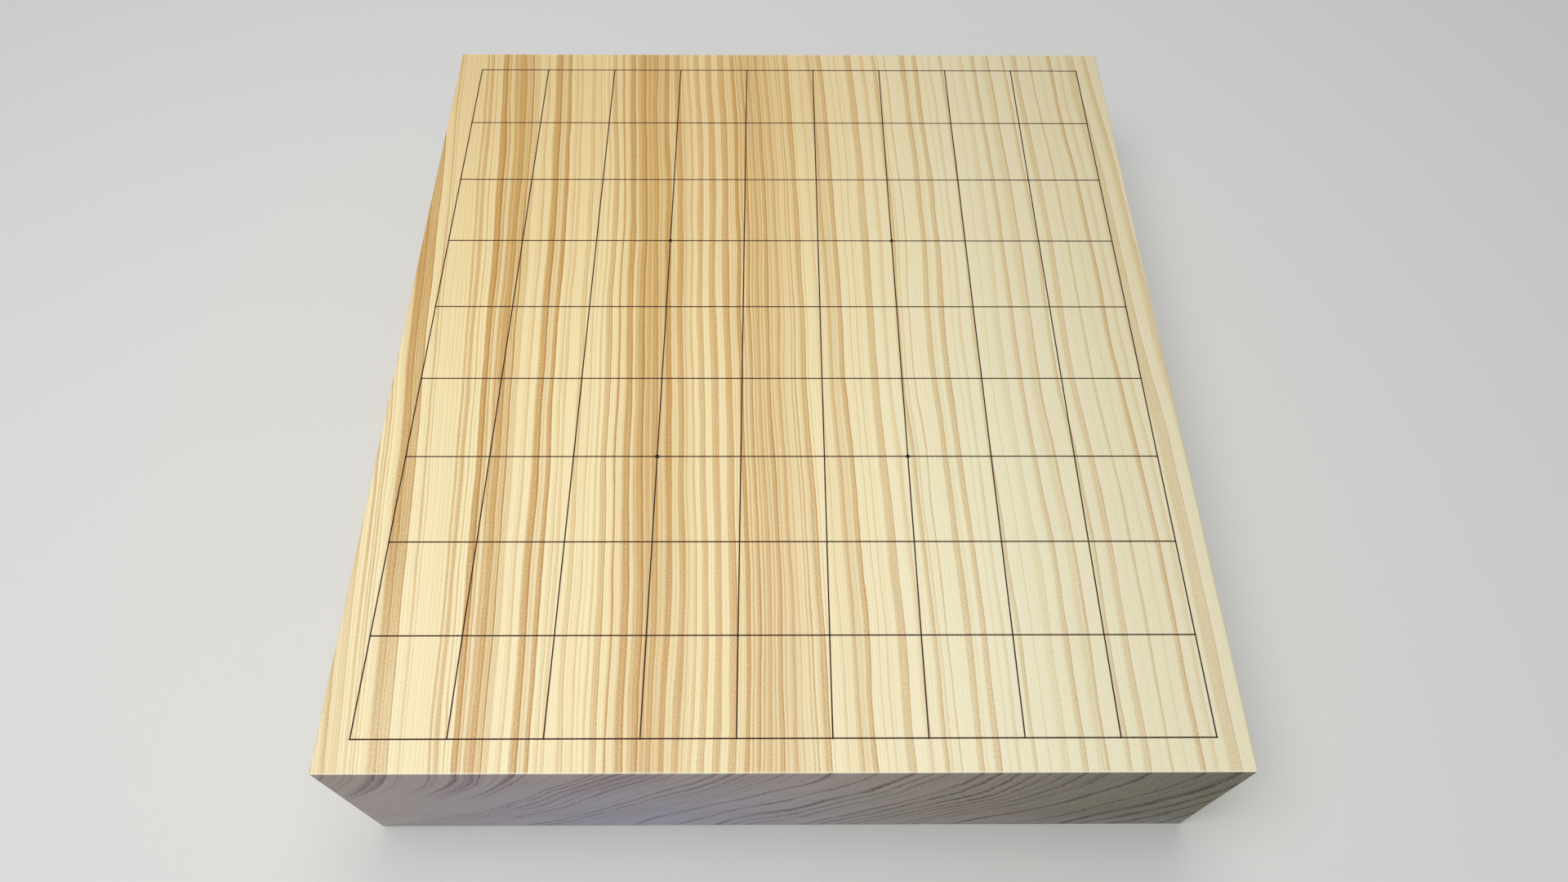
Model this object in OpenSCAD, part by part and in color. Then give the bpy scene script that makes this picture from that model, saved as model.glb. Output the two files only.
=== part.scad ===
// Tabletop shogi board. One thick piece of timber with eased arrises, ruled on its upper
// face with ten file lines and ten rank lines of raised lacquer, nine squares by nine,
// and marked with four star points, three squares in from each corner of the grid.
// The origin is the centre of the underside. +Z is up, +X runs across the files,
// and +Y runs along the files, from the near player to the far one.

/* [Slab] */
// Width of the slab, across the files
board_w = 333; // [260:1:420]
// Length of the slab, along the files
board_l = 364; // [290:1:460]
// Thickness of the slab
board_t = 91; // [20:1:180]
// Radius on the arrises round the upper face
upper_arris_r = 0.7; // [0.4:0.1:3]
// Radius on the four upright corners
corner_r = 1; // [0.5:0.1:5]
// Radius on the arrises round the underside
lower_arris_r = 2; // [0.5:0.1:5]

/* [Ruled grid] */
// Bare timber between the slab's side and the middle of the outer file line
side_margin = 12.1; // [6:0.1:30]
// Bare timber between the slab's end and the middle of the outer rank line
end_margin = 12.1; // [6:0.1:30]
// Width of a lacquer line
line_w = 0.6; // [0.3:0.05:1.5]
// Height of a lacquer line above the timber
line_h = 0.15; // [0.08:0.01:0.4]
// Lacquer that a rank line carries over each file line
bridge_h = 0.1; // [0.05:0.01:0.3]
// Run of the bridge on each side of the file line
bridge_run = 0.3; // [0.1:0.05:1]

/* [Star points] */
// Reach of a star point past the ends of the bridge that it covers
star_reach = 0.3; // [0.3:0.05:1.5]
// Rise of a star point's crown above its rim
star_crown = 0.12; // [0.05:0.01:0.3]
// Squares between the edge of the grid and a star point
star_squares = 3; // [2:1:4]

/* [Hidden] */
$fn = 64;
// A shogi board always has nine squares each way, so ten lines
squares = 9;
lines = [1:squares + 1];

// The grid, and one square of it
grid_w = board_w - 2 * side_margin;
grid_l = board_l - 2 * end_margin;
square_w = grid_w / squares;
square_l = grid_l / squares;

// Height over the timber at a crossing, which is a star point's rim too
crossing_h = line_h + bridge_h;
// A star point is wide enough to cover the bridge at its crossing
star_r = line_w / 2 + bridge_run + star_reach;
// Angles at which rings are drawn round a star point's crown, from rim to top
crown_angles = [0, 25, 50, 75];
crown_sides = 24;

// Colours of the timber and of the lacquer
timber_colour = [0.90, 0.77, 0.55];
lacquer_colour = [0.13, 0.09, 0.07];

// Where each star point lies, in squares from the middle of the grid
star_place = squares / 2 - star_squares;
STARS = [
    ["star_near_left", -1, -1],
    ["star_near_right", 1, -1],
    ["star_far_left", -1, 1],
    ["star_far_right", 1, 1]
];

// Middle of the file line or the rank line with that number
function file_x(i) = (i - 1) * square_w - grid_w / 2;
function rank_y(i) = (i - 1) * square_l - grid_l / 2;

// A section through the slab with two lower and two upper rounded corners
module eased_section(width, height, low_r, high_r) {
    half = width / 2;
    translate([-half, low_r]) square([width, height - low_r - high_r]);
    translate([low_r - half, 0]) square([width - 2 * low_r, height / 2]);
    translate([high_r - half, height / 2]) square([width - 2 * high_r, height / 2]);
    for (side = [-1, 1]) {
        translate([side * (half - low_r), low_r]) circle(low_r);
        translate([side * (half - high_r), height - high_r]) circle(high_r);
    }
}

// The timber: three crossed extrusions, so that every arris is a true round
module board_slab() {
    color(timber_colour) intersection() {
        translate([0, board_l / 2, 0]) rotate([90, 0, 0]) linear_extrude(board_l)
            eased_section(board_w, board_t, lower_arris_r, upper_arris_r);
        translate([-board_w / 2, 0, 0]) rotate([90, 0, 90]) linear_extrude(board_w)
            eased_section(board_l, board_t, lower_arris_r, upper_arris_r);
        translate([0, -board_l / 2, 0]) linear_extrude(board_t)
            eased_section(board_w, board_l, corner_r, corner_r);
    }
}

// One line along the board, laid first
module file_line(i) {
    color(lacquer_colour)
        translate([file_x(i) - line_w / 2, -(grid_l + line_w) / 2, board_t])
            cube([line_w, grid_l + line_w, line_h]);
}

// The raised stretch of a rank line over one file line, kept within the rank line's ends
module bridge(i, y) {
    line_end = (grid_w + line_w) / 2;
    low_x = max(file_x(i) - line_w / 2 - bridge_run, -line_end);
    high_x = min(file_x(i) + line_w / 2 + bridge_run, line_end);
    translate([low_x, y - line_w / 2, board_t])
        cube([high_x - low_x, line_w, crossing_h]);
}

// One line across the board, laid second, with a bridge over every file line
module rank_line(i) {
    color(lacquer_colour) difference() {
        union() {
            translate([-(grid_w + line_w) / 2, rank_y(i) - line_w / 2, board_t])
                cube([grid_w + line_w, line_w, line_h]);
            for (k = lines) bridge(k, rank_y(i));
        }
        for (k = lines) file_line(k);
    }
}

// A drop of set lacquer: a round rim as high as the crossing, under a low crown
module drop() {
    hull() for (a = crown_angles)
        cylinder(h = crossing_h + star_crown * sin(a), r = star_r * cos(a), $fn = crown_sides);
}

// The drop over one crossing, laid last, cut by the two lines beneath it
module star_point(side, end) {
    x = side * star_place * square_w;
    y = end * star_place * square_l;
    color(lacquer_colour) difference() {
        translate([x, y, board_t]) drop();
        file_line(squares / 2 + 1 + side * star_place);
        rank_line(squares / 2 + 1 + end * star_place);
    }
}

board_slab();
for (i = lines) file_line(i);
for (i = lines) rank_line(i);
for (star = STARS) star_point(star[1], star[2]);
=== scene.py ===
# %% [markdown]
# # A tabletop shogi board, in cells
# This script dresses the measured model of a thick wooden board in its real finish.
# The measured pieces are loaded first, as a fixed frame. Nothing here moves or resizes
# them: each is hidden behind a finer piece of the same size in the same place. All
# lengths are in metres, with +Z up, +X to the near player's right and +Y towards the far
# player. Many values below are written in millimetres, because a maker thinks in them.

# %% Load the measured model
import math

import bpy
from mathutils import Matrix, Vector, noise


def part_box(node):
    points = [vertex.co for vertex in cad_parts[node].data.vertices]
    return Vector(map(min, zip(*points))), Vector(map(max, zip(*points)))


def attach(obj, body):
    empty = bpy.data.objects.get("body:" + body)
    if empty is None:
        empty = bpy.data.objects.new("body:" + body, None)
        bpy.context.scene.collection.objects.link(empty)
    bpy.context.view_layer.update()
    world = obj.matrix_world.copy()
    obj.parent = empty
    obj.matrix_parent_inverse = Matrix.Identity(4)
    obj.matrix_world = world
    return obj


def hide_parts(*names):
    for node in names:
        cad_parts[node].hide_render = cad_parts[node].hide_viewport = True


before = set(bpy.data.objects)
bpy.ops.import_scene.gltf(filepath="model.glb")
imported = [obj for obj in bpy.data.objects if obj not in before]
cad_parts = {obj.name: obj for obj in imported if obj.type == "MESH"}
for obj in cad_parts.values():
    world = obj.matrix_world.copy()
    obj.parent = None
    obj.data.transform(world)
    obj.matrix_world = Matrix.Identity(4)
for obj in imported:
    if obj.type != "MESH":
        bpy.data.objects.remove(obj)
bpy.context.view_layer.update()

MM = 0.001
SLAB_LOW, SLAB_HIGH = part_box("board_slab")
SLAB_SIZE = SLAB_HIGH - SLAB_LOW
TOP = SLAB_HIGH.z
print("slab in mm:", [round(side / MM, 1) for side in SLAB_SIZE])

# %% [markdown]
# The board is looked at from above the near player's head, through a wide lens, and the
# picture is cropped a little off the lens's middle. The camera repeats that place, its
# heading and its small tilt, and a lens shift repeats the crop. Standing this close is
# what gives the board its strong taper: a longer lens from further off would draw the
# sides almost parallel.

# %% Camera
CAMERA_PLACE = Vector((-5.6, -276.2, 412.4)) * MM + Vector((0, 0, TOP))
CAMERA_DOWN = math.radians(56.784)
CAMERA_HEADING = math.radians(0.847)
CAMERA_TILT = math.radians(0.720)
FOCAL_LENGTH = 26.01
SENSOR_WIDTH = 36.0
SHIFT_X = 0.0037
SHIFT_Y = -0.0557
CLIP_NEAR, CLIP_FAR = 0.01, 60.0


def add_camera():
    """Stand the camera in its place: heading first, then the downward aim, then the tilt."""
    data = bpy.data.cameras.new("camera")
    data.lens = FOCAL_LENGTH
    data.sensor_width = SENSOR_WIDTH
    data.shift_x, data.shift_y = SHIFT_X, SHIFT_Y
    data.clip_start, data.clip_end = CLIP_NEAR, CLIP_FAR
    camera = bpy.data.objects.new("camera", data)
    bpy.context.scene.collection.objects.link(camera)
    aim = Matrix.Rotation(-CAMERA_HEADING, 4, "Z")
    aim @= Matrix.Rotation(math.pi / 2 - CAMERA_DOWN, 4, "X")
    aim @= Matrix.Rotation(CAMERA_TILT, 4, "Z")
    camera.matrix_world = Matrix.Translation(CAMERA_PLACE) @ aim
    bpy.context.scene.camera = camera


add_camera()
print("camera over the board in mm:", round((CAMERA_PLACE.z - TOP) / MM))

# %% [markdown]
# Operators act on whatever is selected, as they do when a person works by hand. So each
# piece starts from an empty selection, and its place, turn and scale are put into its
# mesh before it is shaped. A finished piece is handed to the frame, which is told the
# body it rides on, and the measured piece it stands for is hidden.

# %% Helpers for working on a mesh by hand
def start_clean():
    """Leave edit mode and select nothing."""
    if bpy.context.mode != "OBJECT":
        bpy.ops.object.mode_set(mode="OBJECT")
    bpy.ops.object.select_all(action="DESELECT")


def apply_place():
    """Put the selected object's place, turn and scale into its mesh."""
    bpy.ops.object.transform_apply(location=True, rotation=True, scale=True)


def edge_ends(piece, edge):
    """The two end points of an edge."""
    return [piece.data.vertices[i].co for i in edge.vertices]


def finish_piece(piece, node):
    """Hand a finished piece to the frame, in place of the measured node."""
    start_clean()
    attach(piece, "root")
    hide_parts(node)

# %% [markdown]
# The slab is one thick piece of timber, planed on six sides, with its arrises eased so
# that they don't bruise: a little round along the upper edges, more at the upright
# corners, most round the underside, where the board is lifted. A cube is added at the
# slab's size, its edges get weights by where they lie, and one Bevel modifier turns the
# weights into three radii. Bevelling edge by edge with the operator would leave untidy
# patches where three different rounds meet.

# %% The slab
UPPER_EASE = 0.7 * MM
UPRIGHT_EASE = 1.0 * MM
LOWER_EASE = 2.0 * MM
EASE_STEPS = 5
SLAB_SMOOTH = math.radians(25)


def weigh_edges(slab):
    """Give each edge its share of the largest radius."""
    weights = slab.data.attributes.new("bevel_weight_edge", "FLOAT", "EDGE")
    middle = (SLAB_LOW.z + SLAB_HIGH.z) / 2
    for edge in slab.data.edges:
        a, b = edge_ends(slab, edge)
        if abs(a.z - b.z) > MM:
            radius = UPRIGHT_EASE
        else:
            radius = UPPER_EASE if a.z > middle else LOWER_EASE
        weights.data[edge.index].value = radius / LOWER_EASE


def add_slab():
    """The slab: a cube of its size, with three sizes of rounded edge."""
    start_clean()
    centre = (SLAB_LOW + SLAB_HIGH) / 2
    bpy.ops.mesh.primitive_cube_add(size=1, location=centre, scale=SLAB_SIZE)
    slab = bpy.context.object
    slab.name = "timber_slab"
    apply_place()
    weigh_edges(slab)
    ease = slab.modifiers.new("ease", "BEVEL")
    ease.limit_method = "WEIGHT"
    ease.width = LOWER_EASE
    ease.segments = EASE_STEPS
    bpy.ops.object.modifier_apply(modifier=ease.name)
    bpy.ops.object.shade_smooth_by_angle(angle=SLAB_SMOOTH)
    finish_piece(slab, "board_slab")
    print("slab faces:", len(slab.data.polygons))
    return slab


slab = add_slab()

# %% [markdown]
# When this finish is later baked into a picture, the picture has to be laid over the
# slab's faces. So the slab gets a flat map made of six plain views: the top, which is
# looked at most and has the finest stripes, takes three quarters of the sheet, the two
# ends with their rings share a strip, and the underside and the sides get what is left.
# A bent face on an arris goes to the view that it faces most.

# %% The slab's flat map
# For each facing: where its view lies on the sheet, from low left to high right
SHEET = {
    (2, 1): (0.010, 0.010, 0.990, 0.760),
    (1, -1): (0.010, 0.770, 0.490, 0.875),
    (1, 1): (0.510, 0.770, 0.990, 0.875),
    (2, -1): (0.010, 0.885, 0.330, 0.990),
    (0, -1): (0.350, 0.885, 0.660, 0.990),
    (0, 1): (0.680, 0.885, 0.990, 0.990),
}
# The two directions that run across and up a view, by the axis it looks along
VIEW_SIDES = {0: (1, 2), 1: (0, 2), 2: (0, 1)}


def lay_flat(slab):
    """Give every face its place in one of the six views."""
    sheet = slab.data.uv_layers.new(name="OFBake")
    for face in slab.data.polygons:
        axis = max(range(3), key=lambda i: abs(face.normal[i]))
        left, low, right, high = SHEET[axis, 1 if face.normal[axis] > 0 else -1]
        across, up = VIEW_SIDES[axis]
        for corner in face.loop_indices:
            place = slab.data.vertices[slab.data.loops[corner].vertex_index].co - SLAB_LOW
            u, v = place[across] / SLAB_SIZE[across], place[up] / SLAB_SIZE[up]
            sheet.uv[corner].vector = (left + (right - left) * u, low + (high - low) * v)


lay_flat(slab)
print("views on the flat map:", len(SHEET))

# %% [markdown]
# Each line is a low bead of lacquer, printed from a blade and left standing on the wood.
# Its section is half of a flat ellipse. So a bead starts as a cylinder laid down in its
# direction, is squashed to the bead's height, and is cut in two by a bisect at the
# timber's face, which also closes it underneath. Its length is then cut into short
# stretches, so that it can waver by a few hundredths of a millimetre, as a hand-laid line
# does. The bisects need a finer tolerance than their own, because the bead is so low.

# %% A bead of lacquer
ACROSS, ALONG = 0, 1
BEAD_SIDES = 16
BEAD_SMOOTH = math.radians(40)
# A bisect takes points this close to its plane as lying on it
FINE = 0.002 * MM
BEAD_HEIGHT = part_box("file_line_1")[1].z - TOP
# The direction of each run, and the turn that lays an upright cylinder along it
AXES = (Vector((1, 0, 0)), Vector((0, 1, 0)))
LAID = {ACROSS: (0, math.pi / 2, 0), ALONG: (math.pi / 2, 0, 0)}


def cut_at_timber():
    """Cut the mesh at the timber's face, drop what is below, and close the cut."""
    bpy.ops.object.mode_set(mode="EDIT")
    bpy.ops.mesh.select_all(action="SELECT")
    bpy.ops.mesh.bisect(
        plane_co=(0, 0, TOP), plane_no=(0, 0, 1), use_fill=True, clear_inner=True, threshold=FINE
    )
    bpy.ops.object.mode_set(mode="OBJECT")


def add_bead(low, high, run):
    """A straight half-round bead filling the box, laid across the board or along it."""
    start_clean()
    size, centre = high - low, (low + high) / 2
    half = size[1 - run] / 2
    bpy.ops.mesh.primitive_cylinder_add(
        vertices=BEAD_SIDES, radius=half, depth=size[run], rotation=LAID[run]
    )
    bead = bpy.context.object
    apply_place()
    bead.scale.z = BEAD_HEIGHT / half
    bead.location = (centre.x, centre.y, TOP)
    apply_place()
    cut_at_timber()
    return bead


def cut_bead(bead, run, places):
    """Cut a bead into stretches at these places along its length."""
    bpy.ops.object.mode_set(mode="EDIT")
    for place in places:
        bpy.ops.mesh.select_all(action="SELECT")
        bpy.ops.mesh.bisect(plane_co=AXES[run] * place, plane_no=AXES[run], threshold=FINE)
    bpy.ops.object.mode_set(mode="OBJECT")


def places_between(start, end, count):
    """Evenly spaced places, without the two ends."""
    return [start + (end - start) * i / count for i in range(1, count)]


def copy_piece(pattern, name, shift):
    """A copy with its own mesh, moved within its mesh."""
    copy = pattern.copy()
    copy.data = pattern.data.copy()
    copy.name = copy.data.name = name
    bpy.context.scene.collection.objects.link(copy)
    copy.data.transform(Matrix.Translation(shift))
    return copy

# %% [markdown]
# A file line runs along the board and is laid first. One bead is made at the first file
# line's place and copied to the others. Every copy gets its own small waver, sideways and
# in thickness, always inward, so that no line grows past its measured size. The waver
# comes from a smooth noise, which is the same each run.

# %% File lines
LINE_NUMBERS = range(1, 11)
STRETCHES_ALONG = 110
SIDE_WAVER = 0.015 * MM
THIN_WAVER = 0.06
WAVER_LENGTH = 30 * MM
# Each line reads the noise on its own track, and its thickness apart from its lean
TRACK_STEP = 3.7
THIN_TRACK, LEAN_TRACK = 4.0, 9.0


def waver(bead, run, low, high, track):
    """Slim a bead unevenly, then lean it to one side or the other, inside its box."""
    side = 1 - run
    middle = (low[side] + high[side]) / 2
    room = 1 - SIDE_WAVER / (high[side] - middle)
    for point in bead.data.vertices:
        reach = point.co[run] / WAVER_LENGTH
        thin = 1 - THIN_WAVER * (0.5 + 0.5 * noise.noise((reach, track, THIN_TRACK)))
        lean = SIDE_WAVER * noise.noise((reach, track, LEAN_TRACK))
        point.co[side] = middle + (point.co[side] - middle) * thin * room + lean
        point.co.z = TOP + (point.co.z - TOP) * thin


def lay_lines(pattern, word, run):
    """Copy the first bead to each line's place, and let each copy waver in its own way."""
    bpy.ops.object.shade_smooth_by_angle(angle=BEAD_SMOOTH)
    first_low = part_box(f"{word}_line_1")[0]
    lines = []
    for number in LINE_NUMBERS:
        low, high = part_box(f"{word}_line_{number}")
        line = copy_piece(pattern, f"lacquer_{word}_{number}", low - first_low)
        waver(line, run, low, high, track=TRACK_STEP * number + run)
        finish_piece(line, f"{word}_line_{number}")
        lines.append(line)
    bpy.data.objects.remove(pattern)
    print(word, "lines:", len(lines), "of", len(lines[0].data.polygons), "faces each")
    return lines


FILE_LOW, FILE_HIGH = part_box("file_line_1")
file_pattern = add_bead(FILE_LOW, FILE_HIGH, ALONG)
cut_bead(file_pattern, ALONG, places_between(FILE_LOW.y, FILE_HIGH.y, STRETCHES_ALONG))
file_lines = lay_lines(file_pattern, "file", ALONG)

# %% [markdown]
# A rank line crosses the files and is laid second, over the set lacquer of the first ones.
# Where it meets a file line it climbs over it in a short, soft hump. The bead is cut
# finely near each crossing and only sparsely in between, and then every point near a
# crossing is lifted by an eased share of the hump's height.

# %% Rank lines
HUMP_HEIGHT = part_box("rank_line_1")[1].z - TOP - BEAD_HEIGHT
HUMP_FLAT = 0.25 * MM
HUMP_REACH = 0.9 * MM
# Cuts on each side of a crossing, in mm from its middle
HUMP_CUTS = [0.0, 0.25, 0.4, 0.55, 0.7, 0.9]
CUTS_PER_SQUARE = 10
# Two cuts that agree to this many digits of a metre are one
CUT_DIGITS = 7


def crossing_places():
    """The middle of every file line."""
    boxes = [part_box(f"file_line_{number}") for number in LINE_NUMBERS]
    return [(low.x + high.x) / 2 for low, high in boxes]


def hump_share(x, crossings):
    """1 over a crossing, 0 beyond the hump's reach, eased in between."""
    off = min(abs(x - crossing) for crossing in crossings)
    fall = min(max((off - HUMP_FLAT) / (HUMP_REACH - HUMP_FLAT), 0.0), 1.0)
    return 1 - fall * fall * (3 - 2 * fall)


def rank_cuts(crossings, low, high):
    """Close cuts round each crossing, and wide ones across each square."""
    cuts = [x + side * cut * MM for x in crossings for cut in HUMP_CUTS for side in (-1, 1)]
    for left, right in zip(crossings, crossings[1:]):
        cuts += places_between(left, right, CUTS_PER_SQUARE)
    return sorted({round(cut, CUT_DIGITS) for cut in cuts if low < cut < high})


def add_rank_pattern():
    """The first rank line's bead, lifted over every file line."""
    low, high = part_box("rank_line_1")
    bead = add_bead(low, high, ACROSS)
    crossings = crossing_places()
    cut_bead(bead, ACROSS, rank_cuts(crossings, low.x, high.x))
    for point in bead.data.vertices:
        lift = 1 + HUMP_HEIGHT / BEAD_HEIGHT * hump_share(point.co.x, crossings)
        point.co.z = TOP + (point.co.z - TOP) * lift
    return bead


rank_lines = lay_lines(add_rank_pattern(), "rank", ACROSS)

# %% [markdown]
# Four star points mark where the promotion zones end. Each is a single drop of lacquer
# let fall on a crossing, so it is a low, smooth dome. A sphere is added at the drop's
# width, flattened, and cut at the timber's face by a bisect that fills the cut.

# %% Star points
STAR_NAMES = ("near_left", "near_right", "far_left", "far_right")
DROP_SIDES, DROP_RINGS = 32, 20


def add_star_pattern():
    """The first star point's drop, cut off at the timber."""
    start_clean()
    low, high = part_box("star_near_left")
    half, centre = (high - low) / 2, (low + high) / 2
    bpy.ops.mesh.primitive_uv_sphere_add(segments=DROP_SIDES, ring_count=DROP_RINGS, radius=1)
    drop = bpy.context.object
    drop.scale = (half.x, half.y, high.z - TOP)
    drop.location = (centre.x, centre.y, TOP)
    apply_place()
    cut_at_timber()
    bpy.ops.object.shade_smooth_by_angle(angle=BEAD_SMOOTH)
    return drop


def drop_stars(pattern):
    """Copy the first drop to each star point's place."""
    first_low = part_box("star_near_left")[0]
    stars = []
    for name in STAR_NAMES:
        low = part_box(f"star_{name}")[0]
        star = copy_piece(pattern, f"lacquer_star_{name}", low - first_low)
        finish_piece(star, f"star_{name}")
        stars.append(star)
    bpy.data.objects.remove(pattern)
    print("star points:", len(stars))
    return stars


stars = drop_stars(add_star_pattern())

# %% [markdown]
# Shader nodes are wired by hand in Blender's node editor. In a script the same wiring
# reads best as formulas, so a small class wraps a material's node tree: each method
# adds one node, joins what it is given to its inputs, and hands back its output.

# %% A helper that writes node wiring as formulas
class Wiring:
    """Adds nodes to one tree. A value may be a number, a colour or another node's output."""

    def __init__(self, tree):
        self.tree = tree

    def node(self, kind, inputs=None, out=0, **settings):
        made = self.tree.nodes.new(kind)
        for name, value in settings.items():
            setattr(made, name, value)
        for key, value in (inputs or {}).items():
            self.join(value, made.inputs[key])
        return made.outputs[out]

    def join(self, value, socket):
        if isinstance(value, bpy.types.NodeSocket):
            self.tree.links.new(value, socket)
        else:
            socket.default_value = value

    def math(self, operation, *values, clamp=False):
        inputs = dict(enumerate(values))
        return self.node("ShaderNodeMath", inputs, operation=operation, use_clamp=clamp)

    def sub(self, a, b):
        return self.math("SUBTRACT", a, b)

    def mul(self, a, b):
        return self.math("MULTIPLY", a, b)

    def clamped(self, a, b):
        """a times b, kept between 0 and 1."""
        return self.math("MULTIPLY", a, b, clamp=True)

    def total(self, *values):
        result = values[0]
        for value in values[1:]:
            result = self.math("ADD", result, value)
        return result

    def sloped(self, share, start, change):
        """A number that changes by so much while the share goes from 0 to 1."""
        return self.total(start, self.mul(share, change))

    def ease(self, value, start, end):
        """0 at start, 1 at end and a smooth S between them. Either may be the larger."""
        inputs = {"Value": value, "From Min": start, "From Max": end}
        return self.node("ShaderNodeMapRange", inputs, interpolation_type="SMOOTHSTEP")

    def noise(self, vector, detail=1.0, roughness=0.5):
        """Smooth noise from about -1 to 1, one wave per unit of the vector."""
        inputs = {"Vector": vector, "Scale": 1.0, "Detail": detail, "Roughness": roughness}
        return self.mul(self.sub(self.node("ShaderNodeTexNoise", inputs), 0.5), 2.0)

    def waves(self, parts, per_mm, **grain):
        """Noise over three directions, with so many waves per mm in each."""
        place = [self.mul(part, rate) for part, rate in zip(parts, per_mm)]
        return self.noise(self.vector(*place), **grain)

    def vector(self, x, y, z):
        return self.node("ShaderNodeCombineXYZ", {"X": x, "Y": y, "Z": z})

    def parts(self, vector):
        """The three numbers of a vector."""
        split = self.tree.nodes.new("ShaderNodeSeparateXYZ")
        self.join(vector, split.inputs[0])
        return list(split.outputs)

    def mix(self, share, a, b):
        """A colour between a and b."""
        made = self.tree.nodes.new("ShaderNodeMix")
        made.data_type = "RGBA"
        for value, name in ((share, "Factor_Float"), (a, "A_Color"), (b, "B_Color")):
            socket = next(s for s in made.inputs if s.identifier == name)
            self.join(value, socket)
        return next(s for s in made.outputs if s.identifier == "Result_Color")


def srgb(red, green, blue):
    """A colour as a paint chart gives it, 0 to 255, in the linear light of a shader."""
    linear = []
    for part in (red / 255, green / 255, blue / 255):
        linear.append(part / 12.92 if part <= 0.04045 else ((part + 0.055) / 1.055) ** 2.4)
    return (*linear, 1.0)


def new_material(name):
    """A material with its wiring helper and its main shader node."""
    material = bpy.data.materials.new(name)
    material.use_nodes = True
    tree = material.node_tree
    return material, Wiring(tree), tree.nodes["Principled BSDF"]

# %% [markdown]
# The board is cut from one slow-grown softwood log, so one solid grain has to run through
# it: a ring that shows as a stripe on the top must turn over the edge and carry on down
# the end. A picture wrapped on each face could not do that. Instead every point of the
# timber gets a growth coordinate in millimetres, which says how far out from the heart
# of the tree it grew. Across the middle of the top it nearly equals the place from left
# Elsewhere a handful of curves say how much growth is gained by going along the
# board, where the stripes spread out towards the near end, and by going down into it,
# where the rings lean over to the left. The numbers of both tables come from fitting
# programs: the first from shifts between photo and render, the second from lines traced
# on the photo's near end. They weren't chosen by hand.

# %% How the rings run through the timber
# For places across the board in mm: the growth gained, in mm, at eight places along it,
# from the near end to the far one
DRIFT = {
    -165: (-18.1, -15.2, -11.9, -6.7, 0.0, 4.9, 10.3, 14.6),
    -143: (-16.7, -13.8, -11.0, -6.1, -0.1, 4.4, 9.3, 13.6),
    -122: (-14.1, -11.4, -9.1, -4.9, -0.1, 3.0, 6.7, 11.2),
    -100: (-9.6, -8.0, -6.2, -3.5, -0.2, 2.3, 4.9, 10.0),
    -80: (-8.5, -6.9, -5.4, -3.1, -0.6, 2.1, 5.4, 10.3),
    -58: (-8.1, -7.2, -6.5, -3.0, 0.1, 2.4, 6.4, 9.8),
    -35: (-5.7, -5.9, -6.1, -3.2, 0.0, 1.9, 4.9, 7.7),
    -12: (-4.1, -4.7, -4.3, -2.8, -0.1, 1.7, 3.7, 7.4),
    12: (-6.9, -5.9, -4.8, -3.0, 0.0, 1.8, 3.6, 7.0),
    40: (-6.3, -5.2, -4.6, -2.7, -0.1, 0.3, 1.8, 3.4),
    75: (-4.7, -4.4, -4.0, -2.3, -0.4, -1.7, -1.6, 0.4),
    110: (-3.9, -4.1, -3.9, -2.7, -0.5, -1.4, 0.0, 1.1),
    140: (-3.1, -3.4, -3.7, -3.0, -0.6, -0.5, 1.6, 2.8),
    165: (-3.9, -3.6, -3.8, -3.1, -0.8, 0.1, 2.4, 4.8),
}
DRIFT_PLACES = (0.0, 0.07, 0.17, 0.32, 0.5, 0.68, 0.84, 1.0)
DRIFT_RANGE = 40.0
# The same at seven depths, from the top to the underside
LEAN = {
    -165: (0.0, 5.0, 11.7, 22.2, 40.2, 73.3, 110.7),
    -140: (0.0, 3.6, 8.7, 21.6, 42.4, 73.6, 104.0),
    -115: (0.0, 3.6, 9.7, 24.6, 43.5, 67.7, 92.5),
    -85: (0.0, 8.4, 17.2, 29.7, 42.1, 60.7, 84.3),
    -55: (0.0, 8.9, 18.0, 30.0, 44.0, 64.4, 79.8),
    -25: (0.0, 6.6, 13.1, 24.9, 42.6, 59.3, 73.2),
    10: (0.0, 3.8, 11.1, 24.5, 35.9, 48.8, 65.5),
    45: (0.0, 4.7, 10.5, 17.4, 27.6, 44.1, 63.8),
    80: (0.0, 1.8, 4.8, 11.2, 23.0, 43.1, 61.1),
    120: (0.0, 1.7, 5.2, 13.6, 21.4, 33.3, 46.0),
    165: (0.0, 1.2, 3.3, 7.8, 13.4, 19.8, 25.7),
}
LEAN_PLACES = (0.0, 0.11, 0.22, 0.385, 0.55, 0.77, 1.0)
LEAN_RANGE = 240.0


def drawn_curve(w, position, places, heights, value_range):
    """A smooth curve through the listed points, read at a position from 0 to 1."""
    made = w.tree.nodes.new("ShaderNodeFloatCurve")
    w.join(position, made.inputs["Value"])
    points = made.mapping.curves[0].points
    while len(points) < len(places):
        points.new(0.5, 0.5)
    for point, place, height in zip(points, places, heights):
        point.location = (place, 0.5 + height / value_range)
    made.mapping.update()
    return w.mul(w.sub(made.outputs[0], 0.5), value_range)


def curves_across(w, x, position, table, places, value_range):
    """Blend a table's curves from left to right."""
    columns = sorted(table)
    result = drawn_curve(w, position, places, table[columns[0]], value_range)
    for left, right in zip(columns, columns[1:]):
        step = drawn_curve(w, position, places, table[right], value_range)
        share = w.ease(x, left, right)
        result = w.total(result, w.mul(share, w.sub(step, result)))
    return result

# %% [markdown]
# No ring follows its curve quite truly. Four waves are added, from a slow bend to a fine
# raggedness, and all four change with depth. Deep in the block and away from the near
# end, where nothing was fitted, the slow bend grows. The finest wave starts below the top
# and shows mostly where the fibres are cut across.

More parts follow.
